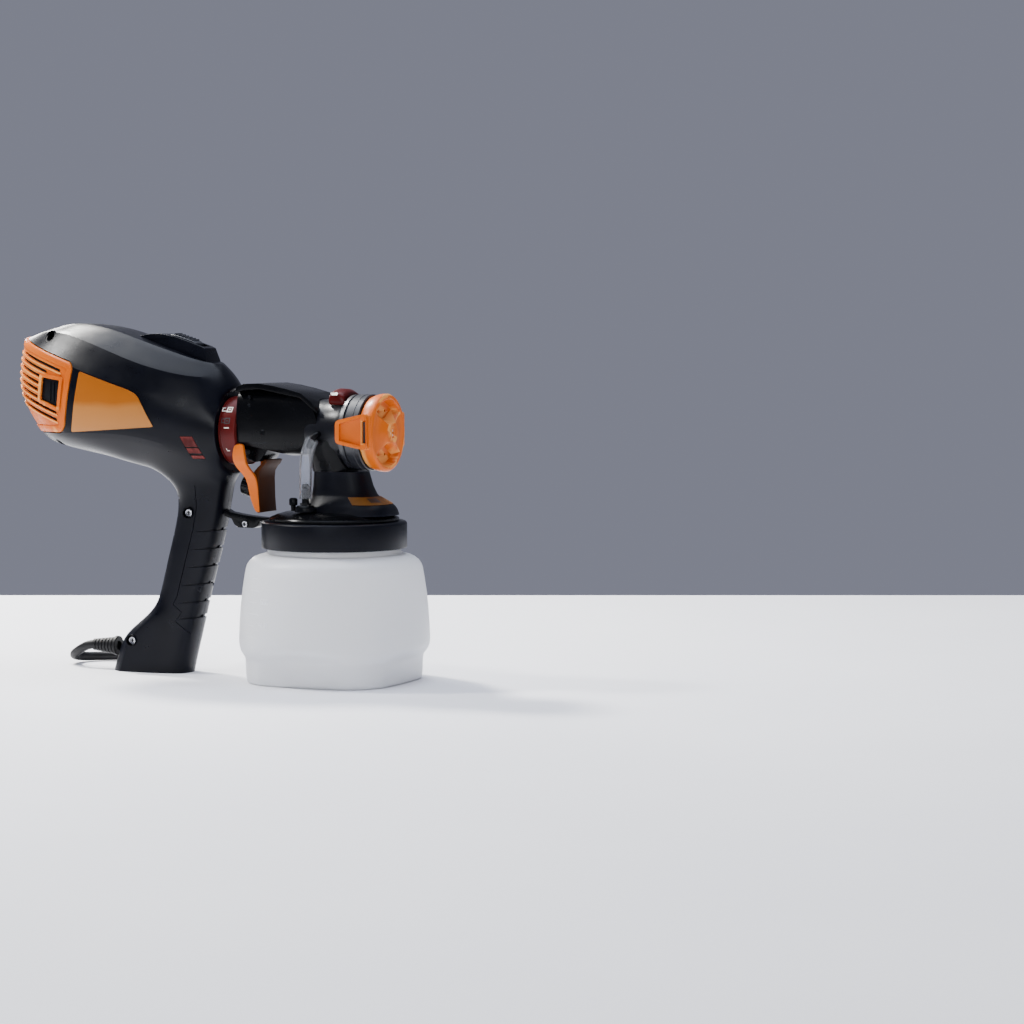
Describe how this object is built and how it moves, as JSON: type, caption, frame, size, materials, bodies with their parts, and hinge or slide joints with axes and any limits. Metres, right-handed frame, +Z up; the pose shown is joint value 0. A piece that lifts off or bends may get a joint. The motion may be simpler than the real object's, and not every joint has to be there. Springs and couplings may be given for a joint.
{
  "type": "hvlp spray gun",
  "caption": "Hand-held HVLP paint sprayer: turbine body with pistol grip, orange louvred filter cover, black gun front with orange air cap, and milky screw-on cup.",
  "frame": {"origin": "centre of the paint cup's base, on the standing surface", "axes": "+X is the spray direction, +Y is the gun's left, +Z is up"},
  "size_m": [0.3705, 0.2704, 0.293],
  "materials": {
    "housing": "satin, nearly black navy, fine moulded grain",
    "orange": "satin orange moulding",
    "label": "plain amber film, satin",
    "latch": "ribbed satin black",
    "red": "dark red moulding",
    "foam": "open-cell filter foam",
    "steel": "bright plated steel",
    "brass": "plug blades",
    "white_part": "natural white moulding",
    "dark_part": "black inner moulding",
    "rubber": "matt black",
    "slider": "ribbed matt black",
    "gloss": "glossy black moulding",
    "lid": "satin black, glossy top edge",
    "cup": "milky translucent, soft sheen",
    "clear": "clear flexible tube"
  },
  "bodies": {
    "gun": {"housing_right": "housing", "housing_left": "housing", "air_filter": "foam", "side_label_right": "label", "side_label_left": "label", "motor_can": "steel", "turbine_shroud": "dark_part", "switch_module": "dark_part", "air_duct": "dark_part", "duct_seal": "rubber", "vent_insert_right": "red", "vent_insert_left": "red", "cord_strain_relief": "rubber", "power_cord": "rubber", "plug_body": "rubber", "plug_blade_1": "brass", "plug_blade_2": "brass", "internal_lead": "rubber", "handle_screw_top": "steel", "handle_screw_foot": "steel", "housing_screw_top": "steel", "housing_screw_rear": "steel", "guard_arm": "gloss", "guard_screw": "steel", "nozzle_body": "gloss", "nozzle_top_cover": "gloss", "cup_lid": "lid", "cup_gasket": "rubber", "suction_tube": "clear", "vent_tube": "clear", "tube_nipple": "gloss", "valve_body": "gloss", "valve_cap": "gloss", "trigger_pin": "steel", "fluid_nozzle": "white_part", "needle_seal": "rubber"},
    "filter_cover": {"filter_cover": "orange"},
    "latch_right": {"filter_latch_right": "latch"},
    "latch_left": {"filter_latch_left": "latch"},
    "rotor": {"turbine_impeller": "white_part", "motor_shaft": "steel"},
    "power_switch": {"power_switch_slider": "slider"},
    "lock_collar": {"lock_collar": "red"},
    "trigger": {"trigger": "orange"},
    "flow_knob": {"flow_knob": "gloss"},
    "needle": {"needle": "steel"},
    "pattern_selector": {"pattern_selector": "red"},
    "nozzle_nut": {"nozzle_nut": "gloss"},
    "air_cap": {"air_cap": "orange"},
    "cup": {"cup": "cup"}
  },
  "joints": [
    {"name": "cover_slide", "type": "slide", "parent": "gun", "child": "filter_cover", "axis": [-1, 0, 0], "range_m": [0, 0.03]},
    {"name": "latch_right_press", "type": "slide", "parent": "filter_cover", "child": "latch_right", "axis": [0, 1, 0], "range_m": [0, 0.002], "stiffness_N_per_m": 600},
    {"name": "latch_left_press", "type": "slide", "parent": "filter_cover", "child": "latch_left", "axis": [0, -1, 0], "range_m": [0, 0.002], "stiffness_N_per_m": 600},
    {"name": "impeller_spin", "type": "hinge", "parent": "gun", "child": "rotor", "pos_m": [-0.233, 0, 0.236], "axis": [1, 0, 0], "continuous": true},
    {"name": "switch_slide", "type": "slide", "parent": "gun", "child": "power_switch", "axis": [0.9635, 0, -0.2676], "range_m": [0, 0.006]},
    {"name": "collar_turn", "type": "hinge", "parent": "gun", "child": "lock_collar", "pos_m": [0, 0, 0.2035], "axis": [1, 0, 0], "range_deg": [0, 40]},
    {"name": "trigger_pull", "type": "hinge", "parent": "gun", "child": "trigger", "pos_m": [-0.0719, 0, 0.1865], "axis": [0, 1, 0], "range_deg": [0, 11], "stiffness_Nm_per_rad": 1.2, "springref_deg": -8.59},
    {"name": "flow_knob_turn", "type": "hinge", "parent": "trigger", "child": "flow_knob", "pos_m": [-0.0695, 0, 0.156], "axis": [0.9703, 0, -0.2419], "range_deg": [0, 270]},
    {"name": "needle_slide", "type": "slide", "parent": "gun", "child": "needle", "axis": [-1, 0, 0], "range_m": [0, 0.0042]},
    {"name": "selector_turn", "type": "hinge", "parent": "gun", "child": "pattern_selector", "pos_m": [0, 0, 0.2035], "axis": [1, 0, 0], "range_deg": [-25, 25]},
    {"name": "nut_turn", "type": "hinge", "parent": "gun", "child": "nozzle_nut", "pos_m": [0, 0, 0.2035], "axis": [1, 0, 0], "range_deg": [0, 120]},
    {"name": "air_cap_turn", "type": "hinge", "parent": "gun", "child": "air_cap", "pos_m": [0, 0, 0.2035], "axis": [1, 0, 0], "range_deg": [-35, 35]},
    {"name": "cup_twist", "type": "hinge", "parent": "gun", "child": "cup", "pos_m": [0, 0, 0], "axis": [0, 0, 1], "range_deg": [0, 120]}
  ],
  "couplings": [
    {"joint": "needle_slide", "follows": "trigger_pull", "m_per_rad": 0.0176}
  ]
}
